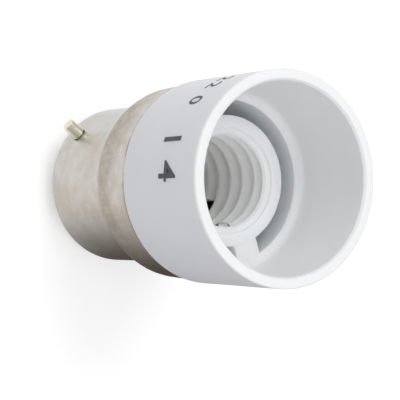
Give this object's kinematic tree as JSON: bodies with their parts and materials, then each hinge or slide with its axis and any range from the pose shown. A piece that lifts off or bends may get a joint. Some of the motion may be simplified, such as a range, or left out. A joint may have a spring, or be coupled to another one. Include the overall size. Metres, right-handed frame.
{
  "type": "lamp socket adapter",
  "caption": "Adapter with a bayonet cap of 22 mm behind and a small screw socket of 14 mm inside a white cup, for putting a screw lamp in a bayonet holder.",
  "frame": {"origin": "centre of the bounding box at the flat faces of the two base contacts", "axes": "+Z along the axis out of the cup's mouth, the bayonet pins along X"},
  "size_m": [0.0282, 0.0282, 0.045],
  "materials": {
    "nickel": "satin nickel plate",
    "brass": "plain turned brass",
    "contact_strip": "plain brass strip",
    "white_plastic": "satin moulded",
    "ivory_plastic": "matt moulded"
  },
  "bodies": {
    "adapter": {"bayonet_barrel": "nickel", "bayonet_pin_right": "brass", "bayonet_pin_left": "brass", "socket_housing": "white_plastic", "base_insulator": "ivory_plastic", "base_contact_front": "brass", "base_contact_back": "brass", "centre_rivet": "brass", "centre_lead": "contact_strip", "side_rivet": "brass", "side_lead": "contact_strip"},
    "centre_contact": {"centre_contact_spring": "contact_strip"},
    "side_contact": {"side_contact_spring": "contact_strip"}
  },
  "joints": [
    {"name": "centre_contact_flex", "type": "hinge", "parent": "adapter", "child": "centre_contact", "pos_m": [0, 0.0027, 0.01477], "axis": [1, 0, 0], "range_deg": [0, 14], "stiffness_Nm_per_rad": 0.02, "deforming": ["centre_contact_spring"]},
    {"name": "side_contact_flex", "type": "hinge", "parent": "adapter", "child": "side_contact", "pos_m": [0.00658, -0.00651, 0.01243], "axis": [0.7034, 0.7108, 0], "range_deg": [0, 2.5], "stiffness_Nm_per_rad": 0.6, "deforming": ["side_contact_spring"]}
  ]
}
